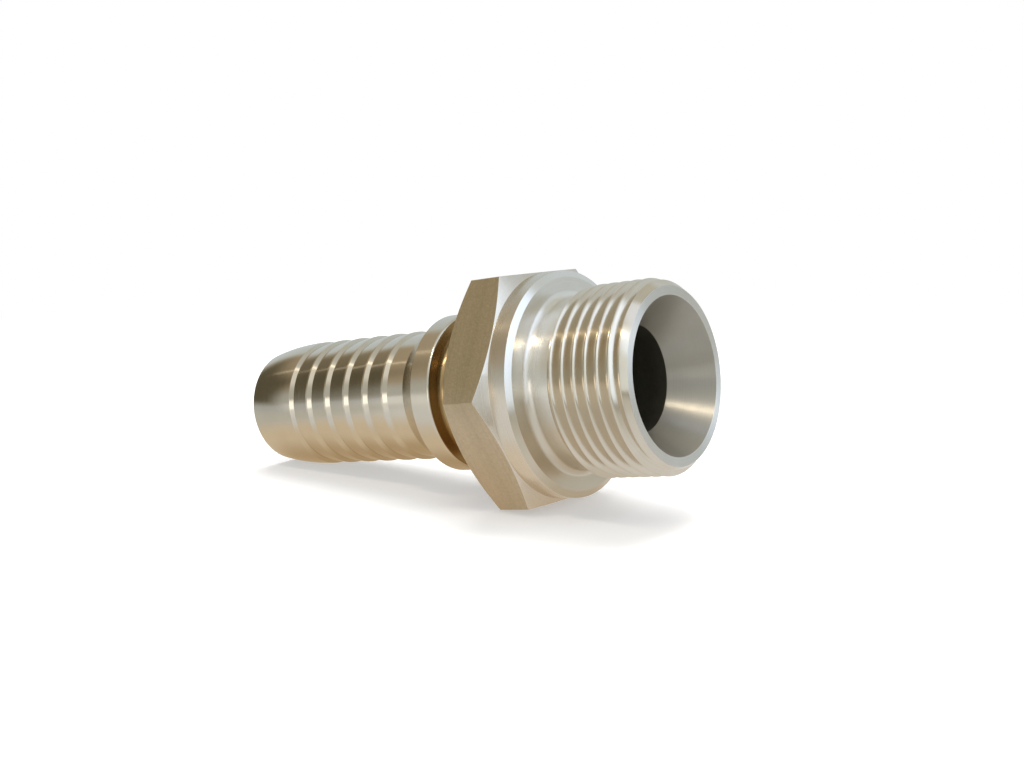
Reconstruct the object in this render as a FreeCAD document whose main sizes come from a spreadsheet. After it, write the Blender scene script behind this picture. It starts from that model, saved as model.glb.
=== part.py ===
import FreeCAD, Part
import math
import os
import Sketcher

# Threaded hose nipple, turned from one length of hexagon bar.
# The part's own axis is X and starts at the tip of the hose tail: the barbed tail comes first,
# then the collar, the groove for the ferrule, the hexagon, the flange with its sealing face and
# the threaded stud with a conical seat in its end. The finished part lies on the back edge of
# the hexagon's lowest flat and on the rounded nose of its tail, as it comes to rest on a table.

NODE = "hose_nipple"

# The property that holds the size of a rounded or bevelled edge
EDGE_SIZE = {"Fillet": "Radius", "Chamfer": "Size"}

# Driving sizes, in millimetres and degrees
SIZES = [
    ("across_flats", 32.0, "hexagon, width across flats"),
    ("hex_width", 7.3, "hexagon, length along the axis"),
    ("hex_back_bevel", 30.0, "hexagon, bevel angle towards the tail"),
    ("hex_front_bevel", 20.0, "hexagon, bevel angle towards the thread"),
    ("flange_diameter", 31.8, "round flange beside the hexagon"),
    ("flange_length", 3.2, "flange, hexagon to sealing face"),
    ("face_diameter", 29.9, "sealing face, outer edge"),
    ("face_bevel_length", 0.5, "bevel of the sealing face, along the axis"),
    ("stud_length", 16.0, "sealing face to thread end"),
    ("thread_diameter", 26.44, "thread, over its crests"),
    ("relief_diameter", 23.9, "thread relief"),
    ("relief_length", 3.5, "thread relief, along the axis"),
    ("relief_fillet", 1.1, "fillet at the foot of the sealing face"),
    ("end_diameter", 24.05, "end face, outer edge"),
    ("end_bevel_length", 1.5, "bevel at the thread end, along the axis"),
    ("seat_diameter", 21.55, "conical seat at the end face"),
    ("seat_angle", 60.0, "conical seat, full angle"),
    ("bore_diameter", 14.7, "through bore"),
    ("bore_edge", 0.4, "bevel of the bore at the tail"),
    ("groove_diameter", 18.0, "ferrule groove, floor"),
    ("groove_length", 6.95, "ferrule groove, collar to hexagon"),
    ("groove_corner", 0.6, "bevels at both ends of the groove floor"),
    ("collar_diameter", 23.05, "collar behind the groove"),
    ("collar_length", 3.35, "collar, straight stretch"),
    ("collar_edge", 0.4, "bevel of the collar's front edge"),
    ("ramp_length", 3.45, "cone that leads up to the collar"),
    ("crest_diameter", 19.42, "hose tail, over the barbs"),
    ("barb_count", 6, "number of barbs"),
    ("barb_pitch", 3.93, "barb to barb"),
    ("barb_depth", 0.36, "drop behind each barb"),
    ("barb_step", 0.65, "length of that drop along the axis"),
    ("barb_land", 0.3, "straight land on each crest"),
    ("plain_length", 3.7, "last crest to the collar's cone"),
    ("lead_length", 9.13, "rounded nose of the tail, tip to first land"),
    ("tip_diameter", 17.28, "nose of the tail at its tip"),
    ("tip_edge", 0.3, "bevel of the tip's outer edge"),
    ("cut_over", 1.0, "how far a cutting profile reaches past the metal"),
]

# Radii, stations along the axis and the resting pose, worked out from the sizes
DERIVED = [
    ("flat_radius", "across_flats / 2"),
    ("corner_radius", "across_flats / sqrt(3)"),
    ("flange_radius", "flange_diameter / 2"),
    ("face_radius", "face_diameter / 2"),
    ("thread_radius", "thread_diameter / 2"),
    ("relief_radius", "relief_diameter / 2"),
    ("end_radius", "end_diameter / 2"),
    ("seat_radius", "seat_diameter / 2"),
    ("bore_radius", "bore_diameter / 2"),
    ("groove_radius", "groove_diameter / 2"),
    ("collar_radius", "collar_diameter / 2"),
    ("crest_radius", "crest_diameter / 2"),
    ("valley_radius", "crest_radius - barb_depth"),
    ("tip_radius", "tip_diameter / 2"),
    ("first_crest", "lead_length + barb_land"),
    ("last_crest", "first_crest + (barb_count - 1) * barb_pitch"),
    ("step_foot", "last_crest + barb_step"),
    ("ramp_start", "last_crest + plain_length"),
    ("collar_back", "ramp_start + ramp_length"),
    ("collar_front", "collar_back + collar_length"),
    ("hex_back", "collar_front + groove_length"),
    ("hex_middle", "hex_back + hex_width / 2"),
    ("hex_front", "hex_back + hex_width"),
    ("sealing_face", "hex_front + flange_length"),
    ("flange_edge", "sealing_face - face_bevel_length"),
    ("relief_end", "sealing_face + relief_length"),
    ("thread_start", "relief_end + thread_radius - relief_radius"),
    ("stud_end", "sealing_face + stud_length"),
    ("thread_end", "stud_end - end_bevel_length"),
    ("seat_bottom", "stud_end - (seat_radius - bore_radius) / tan(seat_angle / 2 * 1 deg)"),
    ("notch_foot", "first_crest + barb_step"),
    ("next_land", "first_crest + barb_pitch - barb_land"),
    ("notch_top", "crest_radius + cut_over"),
    ("bevel_top", "corner_radius + cut_over"),
    ("back_bevel_reach", "(bevel_top - flange_radius) * tan(hex_back_bevel * 1 deg)"),
    ("back_bevel_end", "hex_back + back_bevel_reach"),
    ("back_bevel_out", "hex_back - cut_over"),
    ("front_bevel_reach", "(bevel_top - flange_radius) * tan(hex_front_bevel * 1 deg)"),
    ("front_bevel_end", "hex_front - front_bevel_reach"),
    ("front_bevel_out", "hex_front + cut_over"),
    ("bore_out", "stud_end + cut_over"),
    ("bore_edge_radius", "bore_radius + bore_edge"),
    ("seat_slope", "(seat_radius - bore_radius) / (stud_end - seat_bottom)"),
    ("seat_out_radius", "seat_radius + cut_over * seat_slope"),
    ("nose_drop", "crest_radius - tip_radius"),
    ("nose_radius", "(lead_length ^ 2 + nose_drop ^ 2) / (2 * nose_drop)"),
    ("nose_centre_height", "nose_radius - crest_radius"),
    ("rest_edge", "hex_back + (flat_radius - flange_radius) * tan(hex_back_bevel * 1 deg)"),
    ("rest_run", "rest_edge - lead_length"),
    ("rest_rise", "nose_centre_height + flat_radius"),
    ("rest_reach", "sqrt(rest_run ^ 2 + rest_rise ^ 2)"),
    ("rest_tilt", "atan2(rest_rise; rest_run) - asin(nose_radius / rest_reach)"),
    ("rest_height", "flat_radius * cos(rest_tilt) - rest_edge * sin(rest_tilt)"),
    ("far_end", "stud_end * cos(rest_tilt) + end_radius * sin(rest_tilt)"),
    ("near_end", "-(tip_radius - tip_edge) * sin(rest_tilt)"),
    ("rest_shift", "(far_end + near_end) / 2"),
]


def write_sheet(doc):
    """The sheet of sizes: plain numbers first, then what follows from them."""
    sheet = doc.addObject("Spreadsheet::Sheet", "Sizes")
    row = 0
    for alias, value, note in SIZES:
        row += 1
        sheet.set("A%d" % row, note)
        sheet.set("B%d" % row, str(value))
        sheet.setAlias("B%d" % row, alias)
    doc.recompute()
    for alias, formula in DERIVED:
        row += 1
        sheet.set("A%d" % row, alias.replace("_", " "))
        sheet.set("B%d" % row, "=" + formula)
        sheet.setAlias("B%d" % row, alias)
    doc.recompute()
    return sheet


def number(sheet, alias):
    """The plain value of one cell of the sheet."""
    value = sheet.get(alias)
    return float(getattr(value, "Value", value))


def origin_plane(body, role):
    """One of the body's own origin planes."""
    for feature in body.Origin.OriginFeatures:
        if feature.Role == role:
            return feature
    raise RuntimeError("no origin plane " + role)


def new_sketch(body, name, role):
    """A sketch on one of the body's origin planes."""
    sketch = body.newObject("Sketcher::SketchObject", name)
    sketch.AttachmentSupport = [(origin_plane(body, role), "")]
    sketch.MapMode = "FlatFace"
    return sketch


def bind(sketch, index, alias):
    """Tie one sketch constraint to one cell."""
    sketch.setExpression("Constraints[%d]" % index, "Sizes." + alias)


def place_point(sketch, sheet, geometry, end, along, out):
    """Tie a point to its station along the axis and its distance from the axis."""
    if along == "0":
        sketch.addConstraint(Sketcher.Constraint("PointOnObject", geometry, end, -2))
    else:
        step = Sketcher.Constraint("DistanceX", -1, 1, geometry, end, number(sheet, along))
        bind(sketch, sketch.addConstraint(step), along)
    if out == "0":
        sketch.addConstraint(Sketcher.Constraint("PointOnObject", geometry, end, -1))
    else:
        rise = Sketcher.Constraint("DistanceY", -1, 1, geometry, end, number(sheet, out))
        bind(sketch, sketch.addConstraint(rise), out)


def draw_profile(sketch, sheet, corners):
    """A closed outline of straight lines through named stations and radii."""
    def spot(corner):
        values = [0.0 if alias == "0" else number(sheet, alias) for alias in corner]
        return FreeCAD.Vector(values[0], values[1], 0)

    first = sketch.GeometryCount
    count = len(corners)
    for i in range(count):
        line = Part.LineSegment(spot(corners[i]), spot(corners[(i + 1) % count]))
        sketch.addGeometry(line, False)
    for i in range(count):
        nxt = first + (i + 1) % count
        sketch.addConstraint(Sketcher.Constraint("Coincident", first + i, 2, nxt, 1))
    for i, (along, out) in enumerate(corners):
        place_point(sketch, sheet, first + i, 1, along, out)
    return first


def turn(body, kind, name, sketch):
    """A full revolution or groove of a sketch about the part's axis."""
    feature = body.newObject("PartDesign::" + kind, name)
    feature.Profile = sketch
    feature.ReferenceAxis = (sketch, ["H_Axis"])
    feature.Angle = 360.0
    sketch.Visibility = False
    return feature


def ring_edges(shape, along, radius):
    """Names of the circular edges about the axis at one station with one radius."""
    near = 1e-4
    names = []
    for i, edge in enumerate(shape.Edges):
        if not isinstance(edge.Curve, Part.Circle):
            continue
        centre = edge.Curve.Center
        off_axis = math.hypot(centre.y, centre.z)
        if abs(centre.x - along) < near and off_axis < near and abs(edge.Curve.Radius - radius) < near:
            names.append("Edge%d" % (i + 1))
    if not names:
        raise RuntimeError("no edge at %.3f with radius %.3f" % (along, radius))
    return names


def dress_rings(doc, sheet, body, kind, name, spots, alias):
    """One fillet or bevel on the rings at the named stations and radii."""
    base = body.Tip
    names = []
    for along, radius in spots:
        place = 0.0 if along == "0" else number(sheet, along)
        names += ring_edges(base.Shape, place, number(sheet, radius))
    feature = body.newObject("PartDesign::" + kind, name)
    feature.Base = (base, names)
    feature.setExpression(EDGE_SIZE[kind], "Sizes." + alias)
    doc.recompute()
    return feature


def hexagon_bar(doc, sheet, body):
    """The stretch of hexagon bar that is left as a spanner grip, one flat facing down."""
    sketch = new_sketch(body, "HexagonSketch", "YZ_Plane")
    radius = number(sheet, "corner_radius")
    corners = []
    for i in range(6):
        angle = math.radians(60.0 * i)
        corners.append(FreeCAD.Vector(radius * math.cos(angle), radius * math.sin(angle), 0))
    for i in range(6):
        sketch.addGeometry(Part.LineSegment(corners[i], corners[(i + 1) % 6]), False)
    circle = Part.Circle(FreeCAD.Vector(0, 0, 0), FreeCAD.Vector(0, 0, 1), radius)
    guide = sketch.addGeometry(circle, True)
    sketch.addConstraint(Sketcher.Constraint("Coincident", guide, 3, -1, 1))
    for i in range(6):
        sketch.addConstraint(Sketcher.Constraint("Coincident", i, 2, (i + 1) % 6, 1))
        sketch.addConstraint(Sketcher.Constraint("PointOnObject", i, 1, guide))
    for i in range(5):
        sketch.addConstraint(Sketcher.Constraint("Equal", i, i + 1))
    sketch.addConstraint(Sketcher.Constraint("PointOnObject", 0, 1, -1))
    size = sketch.addConstraint(Sketcher.Constraint("Radius", guide, radius))
    bind(sketch, size, "corner_radius")
    sketch.setExpression("AttachmentOffset.Base.z", "Sizes.hex_back")
    pad = body.newObject("PartDesign::Pad", "HexagonBar")
    pad.Profile = sketch
    pad.setExpression("Length", "Sizes.hex_width")
    sketch.Visibility = False
    doc.recompute()
    return pad


def hexagon_bevels(doc, sheet, body):
    """The bevels that the lathe leaves on both ends of the hexagon's corners."""
    sketch = new_sketch(body, "BevelSketch", "XZ_Plane")
    draw_profile(sketch, sheet, [
        ("hex_back", "flange_radius"),
        ("back_bevel_out", "flange_radius"),
        ("back_bevel_out", "bevel_top"),
        ("back_bevel_end", "bevel_top"),
    ])
    draw_profile(sketch, sheet, [
        ("hex_front", "flange_radius"),
        ("front_bevel_end", "bevel_top"),
        ("front_bevel_out", "bevel_top"),
        ("front_bevel_out", "flange_radius"),
    ])
    groove = turn(body, "Groove", "HexagonBevels", sketch)
    doc.recompute()
    return groove


def turned_outline(doc, sheet, body):
    """Everything that is turned on the outside, from the end of the stud to the tip of the tail."""
    sketch = new_sketch(body, "TurnedSketch", "XZ_Plane")
    corners = [
        ("stud_end", "0"),
        ("stud_end", "end_radius"),
        ("thread_end", "thread_radius"),
        ("thread_start", "thread_radius"),
        ("relief_end", "relief_radius"),
        ("sealing_face", "relief_radius"),
        ("sealing_face", "face_radius"),
        ("flange_edge", "flange_radius"),
        ("hex_middle", "flange_radius"),
        ("hex_middle", "groove_radius"),
        ("collar_front", "groove_radius"),
        ("collar_front", "collar_radius"),
        ("collar_back", "collar_radius"),
        ("ramp_start", "valley_radius"),
        ("step_foot", "valley_radius"),
        ("last_crest", "crest_radius"),
        ("lead_length", "crest_radius"),
        ("0", "tip_radius"),
        ("0", "0"),
    ]
    points = []
    for along, out in corners:
        x = 0.0 if along == "0" else number(sheet, along)
        y = 0.0 if out == "0" else number(sheet, out)
        points.append(FreeCAD.Vector(x, y, 0))
    nose = corners.index(("lead_length", "crest_radius"))
    count = len(corners)
    bend = number(sheet, "nose_radius")
    centre = FreeCAD.Vector(points[nose].x, points[nose].y - bend, 0)
    sweep = math.asin(points[nose].x / bend)
    for i in range(count):
        if i == nose:
            circle = Part.Circle(centre, FreeCAD.Vector(0, 0, 1), bend)
            sketch.addGeometry(Part.ArcOfCircle(circle, math.pi / 2, math.pi / 2 + sweep), False)
        else:
            sketch.addGeometry(Part.LineSegment(points[i], points[(i + 1) % count]), False)
    # The nose is an arc that leaves the land of the first barb without a kink.
    for i in range(count):
        if i == nose - 1:
            sketch.addConstraint(Sketcher.Constraint("Tangent", i, 2, nose, 1))
        else:
            sketch.addConstraint(Sketcher.Constraint("Coincident", i, 2, (i + 1) % count, 1))
    for i, (along, out) in enumerate(corners):
        if i != nose:
            place_point(sketch, sheet, i, 1, along, out)
    station = Sketcher.Constraint("DistanceX", -1, 1, nose, 1, number(sheet, "lead_length"))
    bind(sketch, sketch.addConstraint(station), "lead_length")
    sketch.addConstraint(Sketcher.Constraint("Horizontal", nose - 1))
    outline = turn(body, "Revolution", "TurnedOutline", sketch)
    doc.recompute()
    return outline


def hose_barbs(doc, sheet, body):
    """The sawtooth barbs: one notch behind the first crest, repeated along the tail."""
    sketch = new_sketch(body, "NotchSketch", "XZ_Plane")
    draw_profile(sketch, sheet, [
        ("first_crest", "notch_top"),
        ("first_crest", "crest_radius"),
        ("notch_foot", "valley_radius"),
        ("next_land", "crest_radius"),
        ("next_land", "notch_top"),
    ])
    notch = turn(body, "Groove", "BarbNotch", sketch)
    doc.recompute()
    before = notch.Shape.Volume
    pattern = body.newObject("PartDesign::LinearPattern", "BarbNotches")
    pattern.Originals = [notch]
    pattern.Direction = (sketch, ["H_Axis"])
    pattern.Mode = "Spacing"
    pattern.setExpression("Offset", "Sizes.barb_pitch")
    pattern.setExpression("Occurrences", "Sizes.barb_count - 1")
    body.Tip = pattern
    doc.recompute()
    if pattern.Occurrences > 1 and pattern.Shape.Volume >= before:
        raise RuntimeError("the repeated notches cut nothing")
    return pattern


def bore_and_seat(doc, sheet, body):
    """The through bore, bevelled at the tail, with the conical seat at the thread end."""
    sketch = new_sketch(body, "BoreSketch", "XZ_Plane")
    draw_profile(sketch, sheet, [
        ("0", "0"),
        ("0", "bore_edge_radius"),
        ("bore_edge", "bore_radius"),
        ("seat_bottom", "bore_radius"),
        ("bore_out", "seat_out_radius"),
        ("bore_out", "0"),
    ])
    before = body.Tip.Shape.Volume
    bore = turn(body, "Groove", "BoreAndSeat", sketch)
    doc.recompute()
    if bore.Shape.Volume >= before:
        raise RuntimeError("the bore cuts nothing")
    return bore


def dressed_rings(doc, sheet, body):
    """The fillet at the foot of the sealing face and the small bevels on the other rings."""
    foot = [("sealing_face", "relief_radius")]
    floor = [("collar_front", "groove_radius"), ("hex_back", "groove_radius")]
    collar = [("collar_front", "collar_radius")]
    dress_rings(doc, sheet, body, "Fillet", "ReliefFillet", foot, "relief_fillet")
    dress_rings(doc, sheet, body, "Chamfer", "GrooveCorners", floor, "groove_corner")
    dress_rings(doc, sheet, body, "Chamfer", "CollarEdge", collar, "collar_edge")
    dress_rings(doc, sheet, body, "Chamfer", "TipEdge", [("0", "tip_radius")], "tip_edge")


def lay_down(sheet, body):
    """Tip the part so that the hexagon's back edge and the tail's nose both touch the table."""
    tilt = number(sheet, "rest_tilt")
    turn_up = FreeCAD.Rotation(FreeCAD.Vector(0, -1, 0), tilt)
    body.Placement = FreeCAD.Placement(FreeCAD.Vector(0, 0, 0), turn_up)
    body.setExpression("Placement.Rotation.Angle", "Sizes.rest_tilt")
    body.setExpression("Placement.Base.x", "-Sizes.rest_shift")
    body.setExpression("Placement.Base.z", "Sizes.rest_height")


def check(doc, body):
    """Stop if any object failed or the finished shape isn't one sound solid."""
    for item in doc.Objects:
        if "Invalid" in item.State or "Error" in item.State:
            raise RuntimeError("%s failed: %s" % (item.Name, item.State))
    shape = body.Shape
    if shape.isNull() or not shape.isValid() or len(shape.Solids) != 1:
        raise RuntimeError("%s is not one sound solid" % body.Label)


def main():
    os.makedirs("parts", exist_ok=True)
    doc = FreeCAD.newDocument("HoseNipple")
    sheet = write_sheet(doc)
    body = doc.addObject("PartDesign::Body", "HoseNipple")
    body.Label = NODE
    hexagon_bar(doc, sheet, body)
    hexagon_bevels(doc, sheet, body)
    turned_outline(doc, sheet, body)
    hose_barbs(doc, sheet, body)
    bore_and_seat(doc, sheet, body)
    dressed_rings(doc, sheet, body)
    lay_down(sheet, body)
    doc.recompute()
    check(doc, body)
    solid = body.Shape.Solids[0]
    solid.exportStep("parts/%s.step" % body.Label)
    box = solid.optimalBoundingBox()
    centre = solid.CenterOfMass
    print("volume %.1f mm3" % solid.Volume)
    print("tilt %.3f deg" % number(sheet, "rest_tilt"))
    print("box X %.3f to %.3f, Y %.3f to %.3f, Z %.3f to %.3f"
          % (box.XMin, box.XMax, box.YMin, box.YMax, box.ZMin, box.ZMax))
    print("centre of mass %.2f %.2f %.2f" % (centre.x, centre.y, centre.z))


main()
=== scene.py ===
import math

import bmesh
import bpy
from bpy.props import FloatProperty, FloatVectorProperty, IntProperty, PointerProperty
from mathutils import Matrix, Vector


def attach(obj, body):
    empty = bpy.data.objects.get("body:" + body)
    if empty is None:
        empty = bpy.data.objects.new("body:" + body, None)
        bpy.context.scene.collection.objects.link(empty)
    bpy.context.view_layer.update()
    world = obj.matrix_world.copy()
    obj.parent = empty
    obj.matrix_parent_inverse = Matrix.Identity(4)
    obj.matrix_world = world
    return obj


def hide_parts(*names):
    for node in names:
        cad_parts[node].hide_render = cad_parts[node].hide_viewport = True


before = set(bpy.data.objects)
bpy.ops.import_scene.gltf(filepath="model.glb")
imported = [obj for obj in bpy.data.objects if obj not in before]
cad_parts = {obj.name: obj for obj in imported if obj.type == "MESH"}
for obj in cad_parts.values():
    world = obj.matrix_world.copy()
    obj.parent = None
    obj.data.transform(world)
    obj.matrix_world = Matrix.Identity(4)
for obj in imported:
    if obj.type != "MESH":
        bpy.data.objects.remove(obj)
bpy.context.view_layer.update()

bl_info = {
    "name": "Threaded hose nipple",
    "version": (1, 0, 0),
    "blender": (4, 5, 0),
    "location": "3D View > Sidebar > Nipple",
    "description": "Turns a hose nipple from hexagon bar, cuts its thread and sets it on a table",
    "category": "Object",
}

NODE = "hose_nipple"
BODY = "root"
MM = 0.001
PIECE_NAME = "hose_nipple_turned"


# Sizes

def length(name, note, millimetres):
    """A length that a user can change, shown in the scene's units."""
    return FloatProperty(name=name, description=note, default=millimetres * MM,
                         min=0.0, precision=5, unit="LENGTH")


def turn_angle(name, note, degrees):
    """An angle that a user can change."""
    return FloatProperty(name=name, description=note, default=math.radians(degrees),
                         subtype="ANGLE", unit="ROTATION")


class NippleSizes(bpy.types.PropertyGroup):
    """Sizes of the turned part, measured along and across its own axis."""
    across_flats: length("Across flats", "Width of the hexagon", 32.0)
    hex_width: length("Hexagon length", "Hexagon along the axis", 7.3)
    hex_back_bevel: turn_angle("Back bevel", "Bevel of the hexagon towards the tail", 30.0)
    hex_front_bevel: turn_angle("Front bevel", "Bevel of the hexagon towards the thread", 20.0)
    flange_diameter: length("Flange", "Round flange beside the hexagon", 31.8)
    flange_length: length("Flange length", "Hexagon to sealing face", 3.2)
    face_diameter: length("Sealing face", "Outer edge of the sealing face", 29.9)
    face_bevel: length("Face bevel", "Bevel of the sealing face, along the axis", 0.5)
    stud_length: length("Stud", "Sealing face to thread end", 16.0)
    thread_diameter: length("Thread", "Thread over its crests", 26.44)
    thread_pitch: length("Pitch", "Crest to crest", 1.814)
    last_crest: length("Last crest", "Sealing face to the last crest on the +Y side", 14.82)
    relief_diameter: length("Relief", "Thread relief", 23.9)
    relief_length: length("Relief length", "Thread relief along the axis", 3.5)
    relief_fillet: length("Relief fillet", "Fillet at the foot of the sealing face", 1.1)
    end_diameter: length("End face", "Outer edge of the end face", 24.05)
    end_bevel: length("End bevel", "Bevel at the thread end, along the axis", 1.5)
    seat_diameter: length("Seat", "Conical seat at the end face", 21.55)
    seat_angle: turn_angle("Seat angle", "Full angle of the conical seat", 60.0)
    bore_diameter: length("Bore", "Through bore", 14.7)
    bore_edge: length("Bore bevel", "Bevel of the bore at the tail", 0.4)
    groove_diameter: length("Groove", "Floor of the ferrule groove", 18.0)
    groove_length: length("Groove length", "Collar to hexagon", 6.95)
    groove_fillet: length("Groove fillet", "Fillets of the groove floor", 1.0)
    collar_diameter: length("Collar", "Collar behind the groove", 23.05)
    collar_length: length("Collar length", "Straight stretch of the collar", 3.35)
    collar_edge: length("Collar edge", "Rounding of the collar's front edge", 0.4)
    ramp_length: length("Ramp", "Cone that leads up to the collar", 3.45)
    crest_diameter: length("Tail", "Hose tail over the barbs", 19.42)
    barb_count: IntProperty(name="Barbs", description="Number of barbs", default=6, min=1)
    barb_pitch: length("Barb pitch", "Barb to barb", 3.93)
    barb_depth: length("Barb depth", "Drop behind each barb", 0.36)
    barb_step: length("Barb step", "Length of that drop", 0.65)
    barb_land: length("Barb land", "Straight land on each crest", 0.3)
    plain_length: length("Plain stretch", "Last crest to the ramp", 3.7)
    lead_length: length("Nose", "Rounded nose, tip to first land", 9.13)
    tip_diameter: length("Tip", "Nose of the tail at its tip", 17.28)
    tip_edge: length("Tip edge", "Rounding of the tip's edge", 0.3)
    rest_tilt: turn_angle("Tilt", "Rise of the axis as the part lies", 8.826846)
    rest_height: length("Rest height", "Axis above the table at the tip", 8.661671)
    rest_shift: length("Rest shift", "Tip to the middle of the footprint", 36.365267)


def colour_of(name, note, value):
    """A colour that a user can change."""
    return FloatVectorProperty(name=name, description=note, default=value, subtype="COLOR",
                               min=0.0, max=1.0, precision=3)


class NippleColours(bpy.types.PropertyGroup):
    """Colours of the steel: each finish runs between a dark and a light one."""
    tail_steel_dark: colour_of("Tail, dark", "Tail and barbs, in the hollows", (0.59, 0.53, 0.43))
    tail_steel_light: colour_of("Tail, light", "Tail and barbs, on the rings", (0.73, 0.665, 0.555))
    collar_steel_dark: colour_of("Collar, dark", "Ramp and collar, in the hollows", (0.58, 0.52, 0.42))
    collar_steel_light: colour_of("Collar, light", "Ramp and collar, on the rings", (0.72, 0.655, 0.545))
    bar_flats_dark: colour_of("Flats, dark", "Drawn flats, in the hollows", (0.275, 0.21, 0.115))
    bar_flats_light: colour_of("Flats, light", "Drawn flats, on the grain", (0.585, 0.475, 0.30))
    flange_steel_dark: colour_of("Flange, dark", "Flange and front bevel, in the hollows",
                                 (0.58, 0.52, 0.43))
    flange_steel_light: colour_of("Flange, light", "Flange and front bevel, on the rings",
                                  (0.74, 0.68, 0.58))
    face_steel_dark: colour_of("Face, dark", "Sealing face, in the hollows", (0.68, 0.65, 0.58))
    face_steel_light: colour_of("Face, light", "Sealing face, on the rings", (0.84, 0.81, 0.745))
    relief_steel_dark: colour_of("Relief, dark", "Thread relief, in the hollows", (0.70, 0.665, 0.59))
    relief_steel_light: colour_of("Relief, light", "Thread relief, on the rings", (0.85, 0.81, 0.735))
    thread_steel_dark: colour_of("Thread, dark", "Thread and its bevel, in the hollows",
                                 (0.60, 0.53, 0.42))
    thread_steel_light: colour_of("Thread, light", "Thread and its bevel, on the rings",
                                  (0.76, 0.685, 0.565))
    end_steel_dark: colour_of("End, dark", "End face, in the hollows", (0.62, 0.60, 0.54))
    end_steel_light: colour_of("End, light", "End face, on the rings", (0.78, 0.76, 0.70))
    # Painted shade: the seat's steel is darker than the end face around it, for the shade in the hollow
    # cone
    seat_steel_dark: colour_of("Seat, dark", "Conical seat, in the hollows", (0.315, 0.29, 0.24))
    seat_steel_light: colour_of("Seat, light", "Conical seat, on the rings", (0.43, 0.40, 0.34))
    # Painted shade: the groove's steel is darker and browner than the collar's, for the shade in the
    # recess
    groove_steel_dark: colour_of("Groove, dark", "Ferrule groove, in the hollows", (0.345, 0.23, 0.10))
    groove_steel_light: colour_of("Groove, light", "Ferrule groove, on the rings", (0.50, 0.365, 0.195))
    # Painted shade: the bore's steel is made nearly black, for the shade inside the hole
    bore_steel_dark: colour_of("Bore, dark", "Through bore, in the hollows", (0.13, 0.12, 0.085))
    bore_steel_light: colour_of("Bore, light", "Through bore, on the rings", (0.22, 0.20, 0.15))


class StageSettings(bpy.types.PropertyGroup):
    """Camera, floor and lamps."""
    lens: FloatProperty(name="Lens", description="Focal length", default=47.67, unit="CAMERA")
    camera_place: FloatVectorProperty(name="Camera", description="Place of the camera",
                                      default=(0.124299, -0.155053, 0.046191), subtype="TRANSLATION",
                                      unit="LENGTH", precision=5)
    camera_turn: FloatVectorProperty(name="Camera turn", description="Rotation of the camera",
                                     default=(math.radians(81.21757), math.radians(0.1152),
                                              math.radians(36.69285)),
                                     subtype="EULER", unit="ROTATION")
    floor_colour: colour_of("Floor", "Matt floor", (0.80, 0.80, 0.80))
    tube_colour: colour_of("Tube", "Light of the long lamps", (1.0, 0.90, 0.74))


# Turned blank. FINE and SOFT are the roundings that a tool leaves on an edge, and the two OVER
# values are the extra stock outside the flats and the thread, all in millimetres

SEGMENTS = 192
ROUND_STEPS = 4
FILLET_STEPS = 10
NOSE_STEPS = 14
FINE = 0.06
SOFT = 0.12
BLANK_OVER = 0.5
THREAD_OVER = 0.25
WELD_BLANK = 1e-5
ON_PLANE = 1e-6


def in_mm(sizes):
    """The part's sizes as plain numbers in millimetres, angles left in radians."""
    plain = {}
    for name, prop in sizes.bl_rna.properties.items():
        if name in {"rna_type", "name"}:
            continue
        value = getattr(sizes, name)
        if getattr(prop, "unit", "NONE") == "LENGTH":
            value = value / MM
        plain[name] = value
    return plain


def stations(s):
    """Places along the axis where the outline changes, counted from the tip of the tail."""
    at = {}
    at["first_crest"] = s["lead_length"] + s["barb_land"]
    at["last_crest"] = at["first_crest"] + (s["barb_count"] - 1) * s["barb_pitch"]
    at["ramp_start"] = at["last_crest"] + s["plain_length"]
    at["collar_back"] = at["ramp_start"] + s["ramp_length"]
    at["collar_front"] = at["collar_back"] + s["collar_length"]
    at["hex_back"] = at["collar_front"] + s["groove_length"]
    at["hex_front"] = at["hex_back"] + s["hex_width"]
    at["face"] = at["hex_front"] + s["flange_length"]
    at["relief_end"] = at["face"] + s["relief_length"]
    at["end"] = at["face"] + s["stud_length"]
    at["thread_end"] = at["end"] - s["end_bevel"]
    return at


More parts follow.
